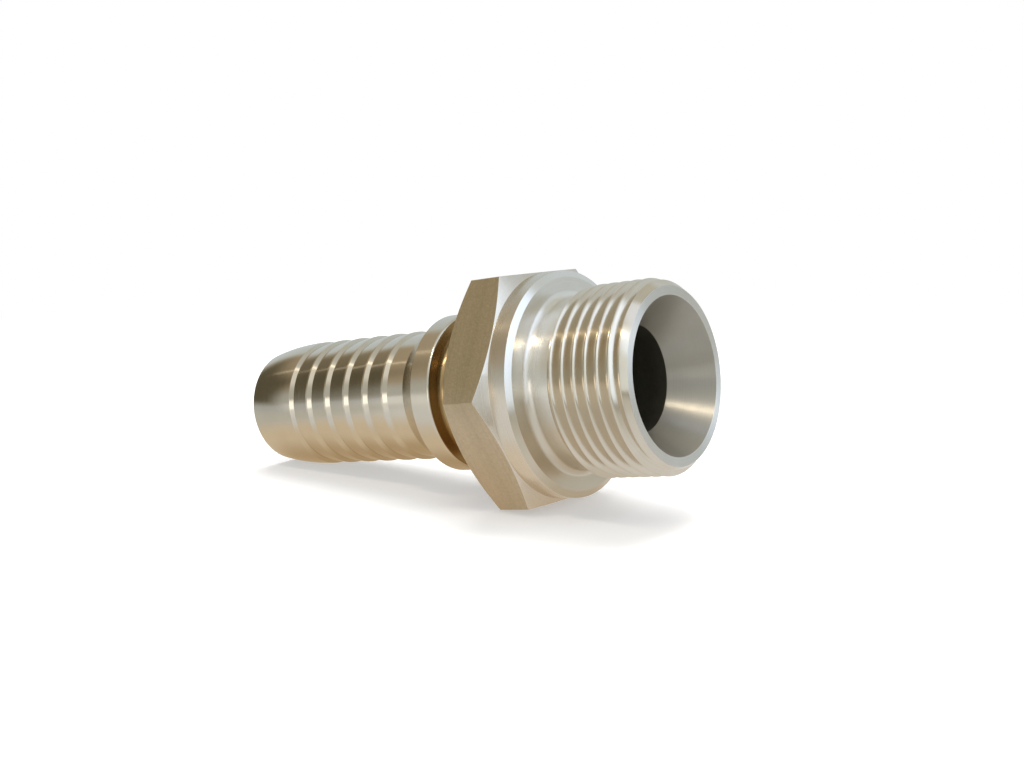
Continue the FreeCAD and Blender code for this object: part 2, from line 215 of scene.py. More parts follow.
def outline(s, at):
    """Corners of the turned section as (station, radius, rounding, steps), tail to thread."""
    crest = s["crest_diameter"] / 2
    valley = crest - s["barb_depth"]
    flange = s["flange_diameter"] / 2
    collar = s["collar_diameter"] / 2
    groove = s["groove_diameter"] / 2
    relief = s["relief_diameter"] / 2
    bore = s["bore_diameter"] / 2
    seat = s["seat_diameter"] / 2
    end = s["end_diameter"] / 2
    thread = s["thread_diameter"] / 2
    blank = s["across_flats"] / math.sqrt(3) + BLANK_OVER
    stud = thread + THREAD_OVER
    end_slope = (thread - end) / s["end_bevel"]
    seat_depth = (seat - bore) / math.tan(s["seat_angle"] / 2)
    corners = [(at["first_crest"], crest, FINE, ROUND_STEPS)]
    for i in range(s["barb_count"] - 1):
        start = at["first_crest"] + i * s["barb_pitch"]
        corners += [
            (start + s["barb_step"], valley, SOFT, ROUND_STEPS),
            (start + s["barb_pitch"] - s["barb_land"], crest, SOFT, ROUND_STEPS),
            (start + s["barb_pitch"], crest, FINE, ROUND_STEPS),
        ]
    corners += [
        (at["last_crest"] + s["barb_step"], valley, SOFT, ROUND_STEPS),
        (at["ramp_start"], valley, SOFT, ROUND_STEPS),
        (at["collar_back"], collar, SOFT, ROUND_STEPS),
        (at["collar_front"], collar, s["collar_edge"], FILLET_STEPS),
        (at["collar_front"], groove, s["groove_fillet"], FILLET_STEPS),
        (at["hex_back"], groove, s["groove_fillet"], FILLET_STEPS),
        (at["hex_back"], flange, FINE, ROUND_STEPS),
        (at["hex_back"] + (blank - flange) * math.tan(s["hex_back_bevel"]), blank, 0, 0),
        (at["hex_front"] - (blank - flange) * math.tan(s["hex_front_bevel"]), blank, 0, 0),
        (at["hex_front"], flange, FINE, ROUND_STEPS),
        (at["face"] - s["face_bevel"], flange, FINE, ROUND_STEPS),
        (at["face"], s["face_diameter"] / 2, FINE, ROUND_STEPS),
        (at["face"], relief, s["relief_fillet"], FILLET_STEPS),
        (at["relief_end"], relief, SOFT, ROUND_STEPS),
        (at["relief_end"] + stud - relief, stud, 0, 0),
        (at["thread_end"] - THREAD_OVER / end_slope, stud, 0, 0),
        (at["end"], end, FINE, ROUND_STEPS),
        (at["end"], seat, FINE, ROUND_STEPS),
        (at["end"] - seat_depth, bore, SOFT, ROUND_STEPS),
        (s["bore_edge"], bore, FINE, ROUND_STEPS),
        (0.0, bore + s["bore_edge"], FINE, ROUND_STEPS),
        (0.0, s["tip_diameter"] / 2, s["tip_edge"], FILLET_STEPS),
    ]
    return corners


def of_kind(geometry, kind):
    """The vertices or the edges among what an operator gives back."""
    return [item for item in geometry if isinstance(item, kind)]


def round_corner(bm, vert, radius, steps):
    """Rounds one corner of the wire section with a true radius."""
    before, after = [edge.other_vert(vert).co for edge in vert.link_edges]
    bend = math.pi - (before - vert.co).angle(after - vert.co)
    bmesh.ops.bevel(bm, geom=[vert], offset=radius * math.tan(bend / 2), offset_type="OFFSET",
                    segments=steps, profile=0.5, affect="VERTICES", material=-1)


def turn_blank(s, at):
    """The whole section turned about the axis, with round stock where the hexagon will be."""
    bm = bmesh.new()
    corners = outline(s, at)
    verts = [bm.verts.new((along, out, 0.0)) for along, out, _, _ in corners]
    for first, second in zip(verts, verts[1:]):
        bm.edges.new((first, second))
    crest = s["crest_diameter"] / 2
    drop = crest - s["tip_diameter"] / 2
    bend = (s["lead_length"] ** 2 + drop ** 2) / (2 * drop)
    nose = bm.verts.new((s["lead_length"], crest, 0.0))
    bm.edges.new((nose, verts[0]))
    arc = bmesh.ops.spin(bm, geom=[nose], cent=(s["lead_length"], crest - bend, 0.0),
                         axis=(0.0, 0.0, 1.0), angle=math.asin(s["lead_length"] / bend),
                         steps=NOSE_STEPS, use_merge=False)
    tip = of_kind(arc["geom_last"], bmesh.types.BMVert)[0]
    tip_place = verts[-1].co.copy()
    bmesh.ops.pointmerge(bm, verts=[tip, verts[-1]], merge_co=tip_place)
    tip = min(bm.verts, key=lambda v: (v.co - tip_place).length)
    for vert, corner in list(zip(verts[:-1], corners[:-1])) + [(tip, corners[-1])]:
        if corner[2] > 0:
            round_corner(bm, vert, corner[2], corner[3])
    bmesh.ops.spin(bm, geom=bm.verts[:] + bm.edges[:], cent=(0.0, 0.0, 0.0), axis=(1.0, 0.0, 0.0),
                   angle=2 * math.pi, steps=SEGMENTS, use_merge=True)
    bmesh.ops.remove_doubles(bm, verts=bm.verts[:], dist=WELD_BLANK)
    bmesh.ops.recalc_face_normals(bm, faces=bm.faces[:])
    return bm


def flat_normals():
    """Outward directions of the six flats."""
    angles = [math.radians(30 + 60 * i) for i in range(6)]
    return [Vector((0.0, math.cos(angle), math.sin(angle))) for angle in angles]


def cut_flats(bm, s):
    """Cuts the six flats off the round stock and closes each cut with one face."""
    flat = s["across_flats"] / 2
    for out in flat_normals():
        everything = bm.verts[:] + bm.edges[:] + bm.faces[:]
        cut = bmesh.ops.bisect_plane(bm, geom=everything, dist=ON_PLANE, plane_co=out * flat,
                                     plane_no=out, clear_outer=True)
        bmesh.ops.edgeloop_fill(bm, edges=of_kind(cut["geom_cut"], bmesh.types.BMEdge))
    bmesh.ops.recalc_face_normals(bm, faces=bm.faces[:])


# Easing of the hexagon: widths in millimetres, and the least turn of a rim that is eased. A face
# is a flat where it faces the way of one, and lies no further from it than FLAT_REACH
HEX_EDGE = 0.045
HEX_CORNER = 0.12
HEX_SHORT = 0.12
HEX_RIM_TURN = math.radians(50)
FLAT_FACING = 0.9999
FLAT_REACH = 0.01


def flats_of(bm, s):
    """The faces that lie in the hexagon's flats."""
    flats = set()
    for face in bm.faces:
        centre = face.calc_center_median()
        for out in flat_normals():
            off = abs(centre.dot(out) - s["across_flats"] / 2)
            if face.normal.dot(out) > FLAT_FACING and off < FLAT_REACH:
                flats.add(face)
    return flats


def ease_hexagon(bm, s):
    """Takes the sharpness off the hexagon: first its six corners, then the edges of the bevels."""
    short = [edge for face in flats_of(bm, s) for edge in face.edges if edge.calc_length() < HEX_SHORT]
    bmesh.ops.dissolve_degenerate(bm, dist=HEX_SHORT, edges=list(set(short)))
    flats = flats_of(bm, s)
    corners = [edge for edge in bm.edges if len(edge.link_faces) == 2 and set(edge.link_faces) <= flats]
    bmesh.ops.bevel(bm, geom=corners, offset=HEX_CORNER, offset_type="OFFSET", segments=2,
                    profile=0.5, affect="EDGES", material=-1, clamp_overlap=True)
    flats = flats_of(bm, s)
    rims = [edge for edge in bm.edges
            if len(edge.link_faces) == 2 and len(set(edge.link_faces) & flats) == 1
            and edge.calc_face_angle() > HEX_RIM_TURN]
    bmesh.ops.bevel(bm, geom=rims, offset=HEX_EDGE, offset_type="OFFSET", segments=2,
                    profile=0.5, affect="EDGES", material=-1, clamp_overlap=False)


# Thread: APEX_CUT is what its crests and roots lose, as a part of the sharp form's height, and
# CREST_ROUNDING is their radius as a part of the pitch. The lengths are in millimetres

FLANK_ANGLE = math.radians(27.5)
APEX_CUT = 1 / 6
CREST_ROUNDING = 0.137329
CREST_STEPS = 6
THREAD_RUN_OUT = 1.6
THREAD_OVERRUN = 0.6
SLEEVE_WALL = 2.0
WELD_TURNS = 1e-3


def thread_form(s, at):
    """One pitch of the thread's section, from the middle of one flank over a root and a crest to
    the middle of the next flank, with its root and crest rounded."""
    pitch = s["thread_pitch"]
    height = pitch / (2 * math.tan(FLANK_ANGLE))
    crest_apex = s["thread_diameter"] / 2 + height * APEX_CUT
    root_apex = crest_apex - height
    middle = (crest_apex + root_apex) / 2
    bm = bmesh.new()
    root = at["face"] + s["last_crest"] - pitch / 2
    while root > at["relief_end"] - THREAD_RUN_OUT - pitch:
        root -= pitch
    verts = [bm.verts.new((root + part * pitch, out, 0.0)) for part, out in (
        (-0.25, middle), (0.0, root_apex), (0.5, crest_apex), (0.75, middle))]
    for first, second in zip(verts, verts[1:]):
        bm.edges.new((first, second))
    for apex in verts[1:3]:
        round_corner(bm, apex, CREST_ROUNDING * pitch, CREST_STEPS)
    return bm


def thread_tool(s, at):
    """All the metal that the thread tool takes away: the helical form from the relief to the end,
    closed by a sleeve outside it."""
    bm = thread_form(s, at)
    pitch = s["thread_pitch"]
    start = at["relief_end"] - THREAD_RUN_OUT
    stop = at["end"] + THREAD_OVERRUN
    bmesh.ops.spin(bm, geom=bm.verts[:] + bm.edges[:], cent=(0.0, 0.0, 0.0), axis=(1.0, 0.0, 0.0),
                   dvec=(pitch / SEGMENTS, 0.0, 0.0), angle=2 * math.pi, steps=SEGMENTS,
                   use_merge=False)
    one_turn = bm.verts[:] + bm.edges[:] + bm.faces[:]
    for i in range(1, math.ceil((stop - start) / pitch) + 3):
        turn = bmesh.ops.duplicate(bm, geom=one_turn)["geom"]
        moved = of_kind(turn, bmesh.types.BMVert)
        bmesh.ops.translate(bm, verts=moved, vec=(i * pitch, 0.0, 0.0))
    bmesh.ops.remove_doubles(bm, verts=bm.verts[:], dist=WELD_TURNS)
    for place, way in ((start, -1.0), (stop, 1.0)):
        bmesh.ops.bisect_plane(bm, geom=bm.verts[:] + bm.edges[:] + bm.faces[:], dist=ON_PLANE,
                               plane_co=(place, 0.0, 0.0), plane_no=(way, 0.0, 0.0),
                               clear_outer=True)
    sleeve = s["thread_diameter"] / 2 + SLEEVE_WALL
    rims = []
    for place in (start, stop):
        edge_loop = [edge for edge in bm.edges if edge.is_boundary
                     and all(abs(vert.co.x - place) < WELD_TURNS for vert in edge.verts)]
        out = bmesh.ops.extrude_edge_only(bm, edges=edge_loop)["geom"]
        for vert in of_kind(out, bmesh.types.BMVert):
            across = Vector((0.0, vert.co.y, vert.co.z)).normalized() * sleeve
            vert.co = Vector((place, across.y, across.z))
        rims += [edge for edge in of_kind(out, bmesh.types.BMEdge) if edge.is_boundary]
    bmesh.ops.bridge_loops(bm, edges=rims)
    bmesh.ops.recalc_face_normals(bm, faces=bm.faces[:])
    return bm


def as_object(bm, name):
    """A loose object that holds a finished bmesh."""
    mesh = bpy.data.meshes.new(name)
    bm.to_mesh(mesh)
    bm.free()
    obj = bpy.data.objects.new(name, mesh)
    bpy.context.scene.collection.objects.link(obj)
    return obj


def cut_thread(blank, tool):
    """Cuts the thread into the blank's stud and takes the tool away."""
    cut = blank.modifiers.new("thread", "BOOLEAN")
    cut.operation = "DIFFERENCE"
    cut.solver = "MANIFOLD"
    cut.object = tool
    bpy.context.view_layer.update()
    graph = bpy.context.evaluated_depsgraph_get()
    mesh = bpy.data.meshes.new_from_object(blank.evaluated_get(graph))
    if not mesh.polygons:
        raise RuntimeError("The thread couldn't be cut")
    blank.modifiers.clear()
    old = blank.data
    blank.data = mesh
    bpy.data.meshes.remove(old)
    bpy.data.objects.remove(tool)


def lay_down(s):
    """From the part's own axis to the pose in which it lies on the table, in metres."""
    return (Matrix.Translation((-s["rest_shift"] * MM, 0.0, s["rest_height"] * MM))
            @ Matrix.Rotation(-s["rest_tilt"], 4, "Y") @ Matrix.Scale(MM, 4))


# The least turn between two faces that still shows as an edge
SHARP_TURN = math.radians(24)


def shade_edges(bm):
    """Smooth shading everywhere but over the sharp edges."""
    for face in bm.faces:
        face.smooth = True
    for edge in bm.edges:
        edge.smooth = not (edge.is_manifold and edge.calc_face_angle() > SHARP_TURN)


class HOSENIPPLE_OT_turned_part(bpy.types.Operator):
    """Turn the nipple, cut its flats and its thread, and lay it on the table"""
    bl_idname = "hose_nipple.turned_part"
    bl_label = "Turned nipple"

    def execute(self, context):
        s = in_mm(context.scene.nipple_sizes)
        at = stations(s)
        bm = turn_blank(s, at)
        cut_flats(bm, s)
        ease_hexagon(bm, s)
        piece = as_object(bm, PIECE_NAME)
        tool = as_object(thread_tool(s, at), "thread_tool")
        cut_thread(piece, tool)
        piece.data.materials.clear()
        bm = bmesh.new()
        bm.from_mesh(piece.data)
        bmesh.ops.recalc_face_normals(bm, faces=bm.faces[:])
        shade_edges(bm)
        names = list(FINISHES)
        for face in bm.faces:
            face.material_index = names.index(finish_of(face, s, at))
        bm.transform(lay_down(s))
        bm.to_mesh(piece.data)
        bm.free()
        for name in names:
            piece.data.materials.append(steel(name, FINISHES[name]))
        weighted = piece.modifiers.new("even shading", "WEIGHTED_NORMAL")
        weighted.keep_sharp = True
        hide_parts(NODE)
        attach(piece, BODY)
        return {"FINISHED"}


# Materials

WHITE = (1.0, 1.0, 1.0, 1.0)
GREY = (0.5, 0.5, 0.5, 1.0)


def node_tree(owner):
    """An empty node tree on a material or a world."""
    owner.use_nodes = True
    owner.node_tree.nodes.clear()
    return owner.node_tree


def input_of(node, key):
    """A node's input by its number, written i0, or by its name, with _ for a space."""
    if key[0] == "i" and key[1:].isdigit():
        return node.inputs[int(key[1:])]
    return node.inputs[key.replace("_", " ")]


def feed(tree, socket, value):
    """Links an output to an input, or sets the input to a number, a colour or a vector."""
    if isinstance(value, bpy.types.NodeSocket):
        tree.links.new(value, socket)
    else:
        socket.default_value = value


def add(tree, kind, settings=None, **inputs):
    """A node with some of its settings changed and its inputs set or linked."""
    node = tree.nodes.new("ShaderNode" + kind)
    for key, value in (settings or {}).items():
        setattr(node, key, value)
    for key, value in inputs.items():
        feed(tree, input_of(node, key), value)
    return node


def maths(tree, operation, first, second=0.0, clamp=False):
    """The result of one sum on numbers."""
    settings = {"operation": operation, "use_clamp": clamp}
    return add(tree, "Math", settings, i0=first, i1=second).outputs[0]


def plus(tree, first, second):
    """Two numbers added."""
    return maths(tree, "ADD", first, second)


def minus(tree, first, second):
    """One number less another."""
    return maths(tree, "SUBTRACT", first, second)


def times(tree, first, second):
    """Two numbers multiplied."""
    return maths(tree, "MULTIPLY", first, second)


def diagonal(tree, first, second):
    """The distance that two steps at right angles make."""
    return maths(tree, "SQRT", plus(tree, times(tree, first, first), times(tree, second, second)))


def object_place(tree):
    """Object coordinates, in metres."""
    return add(tree, "TexCoord").outputs["Object"]


def opaque(colour):
    """A colour as a node's input takes it."""
    return tuple(colour) + (1.0,)


def blend(tree, factor, first, second, kind="MIX"):
    """A colour between two others, or both multiplied."""
    node = add(tree, "Mix", {"data_type": "RGBA", "blend_type": kind})
    for index, value in ((0, factor), (6, first), (7, second)):
        feed(tree, node.inputs[index], value)
    return node.outputs[2]


def spread(tree, value, low, high, to_low=0.0, to_high=1.0):
    """A number moved from one range to another with soft ends."""
    node = add(tree, "MapRange", {"interpolation_type": "SMOOTHSTEP"}, Value=value)
    for index, limit in enumerate((low, high, to_low, to_high)):
        node.inputs[index + 1].default_value = limit
    return node.outputs[0]


def near(tree, value, middle, half, soft):
    """1 where a number is within a half width of another, falling to 0 over a soft edge."""
    off = maths(tree, "ABSOLUTE", minus(tree, value, middle))
    return spread(tree, off, half + soft, half)


def turn_from(tree, x, y, azimuth):
    """The angle, either way, between a direction on the table and an azimuth in degrees."""
    along = math.cos(math.radians(azimuth))
    across = math.sin(math.radians(azimuth))
    towards = plus(tree, times(tree, x, along), times(tree, y, across))
    beside = minus(tree, times(tree, y, along), times(tree, x, across))
    return maths(tree, "ARCTAN2", beside, towards)


def own_frame(tree, tilt, height):
    """Object coordinates turned to the part's own axis: X along it, counted in metres."""
    lift = add(tree, "VectorMath", {"operation": "SUBTRACT"}, i0=object_place(tree),
               i1=(0.0, 0.0, height))
    return add(tree, "Mapping", {"vector_type": "POINT"}, Vector=lift.outputs[0],
               Rotation=(0.0, tilt, 0.0)).outputs[0]


def axis_height():
    """Height of the part's axis above the table, straight over the middle of the footprint."""
    sizes = bpy.context.scene.nipple_sizes
    return sizes.rest_height + sizes.rest_shift * math.tan(sizes.rest_tilt)


# What all finishes share: WIDE_RINGS is the scale of the slow rings as a part of the fine rings',
# LOW_FADE holds the heights in metres between which the painted light and shade near the table
# fades out, and ACROSS_RINGS is a quarter of a turn, which draws the sheen across the rings
WIDE_RINGS = 0.13
PATCH_SCALE = 70.0
BUMP_DEPTH = 0.00002
LOW_FADE = (0.012, 0.020)
ACROSS_RINGS = 0.25


def noise_along(tree, place, scale, **inputs):
    """Uneven rings along one number."""
    return add(tree, "TexNoise", {"noise_dimensions": "1D"}, W=place, Scale=scale, **inputs).outputs[0]


def noise_in(tree, place, scale, **inputs):
    """Uneven spots through space."""
    return add(tree, "TexNoise", Vector=place, Scale=scale, **inputs).outputs[0]


def steel(name, finish):
    """Machined steel: rings left by the tool, a faint mottle, a sheen drawn across the rings, and
    painted light and shade near the table where the finish has a low tint.
    """
    tilt = bpy.context.scene.nipple_sizes.rest_tilt
    colours = bpy.context.scene.nipple_colours
    mat = bpy.data.materials.new(name)
    tree = node_tree(mat)
    place = own_frame(tree, tilt, axis_height())
    parts = add(tree, "SeparateXYZ", Vector=place).outputs
    radius = diagonal(tree, parts[1], parts[2])
    ring_place = plus(tree, parts[0], times(tree, radius, finish["face_rings"]))
    rings = noise_along(tree, ring_place, finish["ring_scale"], Detail=4.0, Roughness=0.7)
    wide_rings = noise_along(tree, ring_place, finish["ring_scale"] * WIDE_RINGS, Detail=2.0)
    mottle = noise_in(tree, place, finish["mottle"], Detail=5.0, Roughness=0.6)
    patches = noise_in(tree, place, PATCH_SCALE, Detail=2.0)
    tone = plus(tree, times(tree, mottle, 0.5), times(tree, rings, 0.5))
    colour = blend(tree, tone, opaque(getattr(colours, name + "_dark")),
                   opaque(getattr(colours, name + "_light")))
    # Painted light and shade: a tint by height, fading out above the table, that lightens or darkens the
    # lower side
    if finish["low"]:
        height = add(tree, "SeparateXYZ", Vector=object_place(tree)).outputs[2]
        rise = spread(tree, height, *LOW_FADE)
        tint = blend(tree, rise, opaque(finish["low"]), WHITE)
        colour = blend(tree, 1.0, colour, tint, "MULTIPLY")
    uneven = minus(tree, plus(tree, patches, wide_rings), 1.0)
    rough = plus(tree, finish["rough"], times(tree, uneven, finish["rough_spread"]))
    relief = plus(tree, rings, times(tree, mottle, finish["grain"]))
    bump = add(tree, "Bump", Strength=finish["bump"], Distance=BUMP_DEPTH, Height=relief)
    across = add(tree, "VectorMath", {"operation": "CROSS_PRODUCT"}, i0=(1.0, 0.0, 0.0), i1=place)
    tangent = add(tree, "Mapping", {"vector_type": "NORMAL"}, Vector=across.outputs[0],
                  Rotation=(0.0, -tilt, 0.0))
    shader = add(tree, "BsdfPrincipled", {}, Base_Color=colour, Roughness=rough,
                 Normal=bump.outputs[0], Tangent=tangent.outputs[0])
    shader.inputs["Metallic"].default_value = finish["metal"]
    shader.inputs["Anisotropic"].default_value = finish["aniso"]
    shader.inputs["Anisotropic Rotation"].default_value = ACROSS_RINGS
    add(tree, "OutputMaterial", {}, Surface=shader.outputs[0])
    return mat


def surface(rough, aniso, **changes):
    """A surface's numbers: what turned steel shares, then what is its own. Scales are per metre,
    and low is painted light and shade: a tint near the table that lightens or darkens the lower side."""
    look = {"rough": rough, "aniso": aniso, "rough_spread": 0.06, "bump": 0.15, "grain": 0.3,
            "ring_scale": 7000.0, "face_rings": 1.0, "mottle": 320.0, "metal": 1.0, "low": None}
    look.update(changes)
    return look


# The low tints are painted light and shade near the table: flats and flange lighter below, face and
# relief darker and browner
FINISHES = {
    "tail_steel": surface(0.15, 0.5, bump=0.10, ring_scale=9000.0, grain=0.2),
    "collar_steel": surface(0.20, 0.5),
    "bar_flats": surface(0.50, 0.0, rough_spread=0.08, bump=0.7, ring_scale=400.0, face_rings=0.0,
                         grain=3.0, mottle=2600.0, metal=0.8, low=(1.25, 1.27, 1.45)),
    "flange_steel": surface(0.27, 0.5, rough_spread=0.08, bump=0.25, ring_scale=6000.0, grain=0.1,
                            low=(1.08, 1.05, 1.02)),
    "face_steel": surface(0.24, 0.8, rough_spread=0.08, bump=0.25, ring_scale=6000.0, grain=0.05,
                          low=(0.80, 0.73, 0.62)),
    "relief_steel": surface(0.26, 0.85, grain=0.05, metal=0.93, low=(0.85, 0.80, 0.72)),
    "thread_steel": surface(0.17, 0.7, rough_spread=0.05, bump=0.10, ring_scale=8000.0, grain=0.1),
    "end_steel": surface(0.48, 0.9, ring_scale=6000.0, grain=0.1),
    "seat_steel": surface(0.31, 0.5, bump=0.25, ring_scale=6000.0, metal=0.74),
    "groove_steel": surface(0.24, 0.5),
    "bore_steel": surface(0.45, 0.3, rough_spread=0.08, bump=0.5, ring_scale=4000.0,
                          face_rings=0.0, grain=0.5, metal=0.92),
}

# How finish_of tells the surfaces apart, in millimetres: margins past an edge first, then the
# stretches at the tail's mouth, at the seat and where the relief runs into the thread. FLAT_LEAN
# is the most that the normal of a flat leans along the axis
END_MARGIN = 0.01
EDGE_MARGIN = 0.02
BORE_MARGIN = 0.03
BEVEL_MARGIN = 0.05
GROOVE_MARGIN = 0.1
TAIL_MOUTH = 1.0
SEAT_STRETCH = 8.0
RELIEF_OVER = 0.3
FLAT_LEAN = 0.1


def finish_of(face, s, at):
    """Which finish a face gets, by where it is along the part and how far out."""
    centre = face.calc_center_median()
    along = centre.x
    out = math.hypot(centre.y, centre.z)
    bore = s["bore_diameter"] / 2
    groove_back = at["collar_front"] - BEVEL_MARGIN
    groove_front = at["hex_back"] + EDGE_MARGIN
    if out < bore + BORE_MARGIN and along > s["bore_edge"]:
        return "bore_steel"
    if out < bore + s["bore_edge"] + BEVEL_MARGIN and along < TAIL_MOUTH:
        return "collar_steel"
    if along > at["end"] - SEAT_STRETCH and out < s["seat_diameter"] / 2 - EDGE_MARGIN:
        return "seat_steel"
    if along < at["ramp_start"]:
        return "tail_steel"
    if groove_back < along < groove_front and out < s["collar_diameter"] / 2 - GROOVE_MARGIN:
        return "groove_steel"
    if along < groove_front:
        return "collar_steel"
    beyond_flange = out > s["flange_diameter"] / 2 + BEVEL_MARGIN
    if along < at["hex_front"] and abs(face.normal.x) < FLAT_LEAN and beyond_flange:
        return "bar_flats"
    if along < at["face"] - s["face_bevel"] + BEVEL_MARGIN:
        return "flange_steel"
    if along < at["face"] + EDGE_MARGIN:
        return "face_steel"
    if along < at["relief_end"] - RELIEF_OVER:
        return "relief_steel"
    if along > at["end"] - END_MARGIN:
        return "end_steel"
    return "thread_steel"


# Stage

def directed(azimuth, elevation):
    """A direction from two angles in degrees, azimuth counted from +X towards +Y."""
    a, e = math.radians(azimuth), math.radians(elevation)
    return Vector((math.cos(e) * math.cos(a), math.cos(e) * math.sin(a), math.sin(e)))


# The room as the metal sees it: shades by height first, from 0 level with the part to 1 straight
# up, then soft patches as (what, azimuth, elevation, half width, half height, soft edge, colour),
# with the angles in degrees
ROOM_LOW = (0.56, 0.58, 0.56)
ROOM_MIDDLE = (0.62, 0.63, 0.58)
ROOM_TOP = (0.62, 0.64, 0.62)
LOW_TO_MIDDLE = (0.15, 0.75)
MIDDLE_TO_TOP = (0.80, 0.97)
ROOM = (
    ("light behind", 134.0, 32.0, 18.0, 20.0, 16.0, (0.64, 0.71, 0.74)),
    ("brown wall", -160.0, 32.0, 32.0, 10.0, 14.0, (0.455, 0.38, 0.27)),
    ("dark corner", -172.0, 11.0, 17.0, 11.0, 15.0, (0.12, 0.105, 0.068)),
    ("lit ceiling", -72.0, 58.0, 36.0, 14.0, 14.0, (0.92, 0.92, 0.88)),
    ("pale wall", 68.0, 25.0, 27.0, 13.0, 12.0, (0.70, 0.77, 0.83)),
    ("window", -2.0, 28.0, 33.0, 22.0, 13.0, (1.36, 1.58, 1.93)),
    ("top of the window", 8.0, 68.0, 24.0, 12.0, 14.0, (1.00, 1.10, 1.28)),
    ("dim pane", -38.0, 14.0, 18.0, 13.0, 11.0, (0.95, 1.03, 1.07)),
    ("low light", -78.0, 5.0, 13.0, 6.0, 5.0, (1.8, 1.75, 1.7)),
    ("beside the window", -57.0, 10.0, 4.0, 12.0, 7.0, (0.60, 0.65, 0.70)),
    ("sill", 13.0, 4.0, 7.0, 6.0, 7.0, (0.58, 0.63, 0.64)),
)

# The table as the metal sees it, as (what, azimuth, half width, soft edge, colour, far colour)
TABLE_FAR = (0.92, 0.95, 0.97)
TABLE_AWAY = (0.08, 0.28)
TABLE = (
    ("beyond the tail", -173.0, 22.0, 16.0, (0.53, 0.56, 0.57), (0.28, 0.28, 0.25)),
    # Painted shade: far off ahead of the part the table darkens as though in shade
    ("far ahead", -18.0, 30.0, 12.0, (0.68, 0.69, 0.66), (0.42, 0.41, 0.37)),
    ("behind", 98.0, 22.0, 15.0, (0.64, 0.65, 0.62), (0.64, 0.65, 0.62)),
    ("behind the thread", 50.0, 15.0, 15.0, (0.62, 0.62, 0.58), (0.52, 0.51, 0.46)),
)

# The table close by, as (start and end of its fade away from the part, start and end of its fade
# along X, colour under the tail, colour under the thread), with the distances in metres
HALF_LINE = 0.03
TABLE_CLOSE = (
    (0.030, 0.080, -0.050, -0.020, (0.63, 0.64, 0.61), (0.80, 0.83, 0.86)),
    (0.012, 0.030, 0.005, 0.035, (0.78, 0.67, 0.51), (0.84, 0.85, 0.87)),
    # Painted shadow: right under the part the table darkens as though the part shaded it
    (0.004, 0.012, 0.005, 0.035, (0.55, 0.41, 0.25), (0.72, 0.70, 0.66)),
)

# Sizes of the stage in metres, but the sensor's in millimetres, and how bright its floor and its
# world are
SENSOR_WIDTH = 36.0
NEAR_CLIP = 0.001
FLOOR_HALF = 3.0
ROOM_RADIUS = 1.2
TABLE_LIFT = 0.00005
FLOOR_GLOW = 0.35
FLOOR_FADE = (0.08, 0.30)
WORLD_LIGHT = 0.55
LAMP_DISTANCE = 0.9
LAMP_AIM = Vector((0.0, 0.0, 0.016))

# Lamps that only light the part, as (name, azimuth, elevation, size, power, colour), and the
# stretches of the long lamp that the metal mirrors, as (name, start, stop, width, power)
LAMPS = (
    ("overhead", 120.0, 62.0, (0.70, 0.70), 7.0, (1.0, 0.99, 0.97)),
    ("window", 14.0, 30.0, (0.42, 0.36), 2.0, (0.90, 0.96, 1.0)),
)
TUBES = (
    ("warm_tube", (0.03, -0.213, 0.45), (0.22, -0.225, 0.45), 0.034, 0.295),
    ("warm_tube_front", (0.22, -0.225, 0.45), (0.30, -0.23, 0.45), 0.034, 0.055),
    ("warm_tube_gap", (-0.28, -0.205, 0.45), (0.03, -0.213, 0.45), 0.032, 0.030),
    ("warm_tube_middle", (-0.51, -0.192, 0.45), (-0.28, -0.205, 0.45), 0.020, 0.020),
    ("warm_tube_end", (-0.98, -0.100, 0.45), (-0.51, -0.192, 0.45), 0.032, 0.020),
)


def only_reflected(obj):
    """Shows a stage piece in the metal and nowhere else."""
    obj.visible_camera = False
    obj.visible_diffuse = False
    obj.visible_shadow = False
    obj.visible_volume_scatter = False


def even_glow(tree, colour):
    """Glow for what the metal mirrors, plain grey where the metal throws it on to the floor."""
    bounced = maths(tree, "MINIMUM", add(tree, "LightPath").outputs["Diffuse Depth"], 1.0)
    glow = blend(tree, bounced, colour, GREY)
    return add(tree, "Emission", {}, Color=glow, Strength=1.0).outputs[0]


def near_angle(tree, value, middle, half, soft):
    """As near, for a value in radians and a patch that is given in degrees."""
    return near(tree, value, math.radians(middle), math.radians(half), math.radians(soft))


def room_material():
    """The room that the metal mirrors."""
    mat = bpy.data.materials.new("room_seen_in_metal")
    tree = node_tree(mat)
    look = add(tree, "VectorMath", {"operation": "NORMALIZE"}, i0=object_place(tree)).outputs[0]
    x, y, height = add(tree, "SeparateXYZ", Vector=look).outputs
    colour = blend(tree, spread(tree, height, *LOW_TO_MIDDLE), opaque(ROOM_LOW), opaque(ROOM_MIDDLE))
    colour = blend(tree, spread(tree, height, *MIDDLE_TO_TOP), colour, opaque(ROOM_TOP))
    rise = maths(tree, "ARCSINE", height)
    for _, azimuth, elevation, wide, high, soft, tint in ROOM:
        turn = turn_from(tree, x, y, azimuth)
        mask = times(tree, near_angle(tree, turn, 0.0, wide, soft),
                     near_angle(tree, rise, elevation, high, soft))
        colour = blend(tree, mask, colour, opaque(tint))
    add(tree, "OutputMaterial", {}, Surface=even_glow(tree, colour))
    return mat


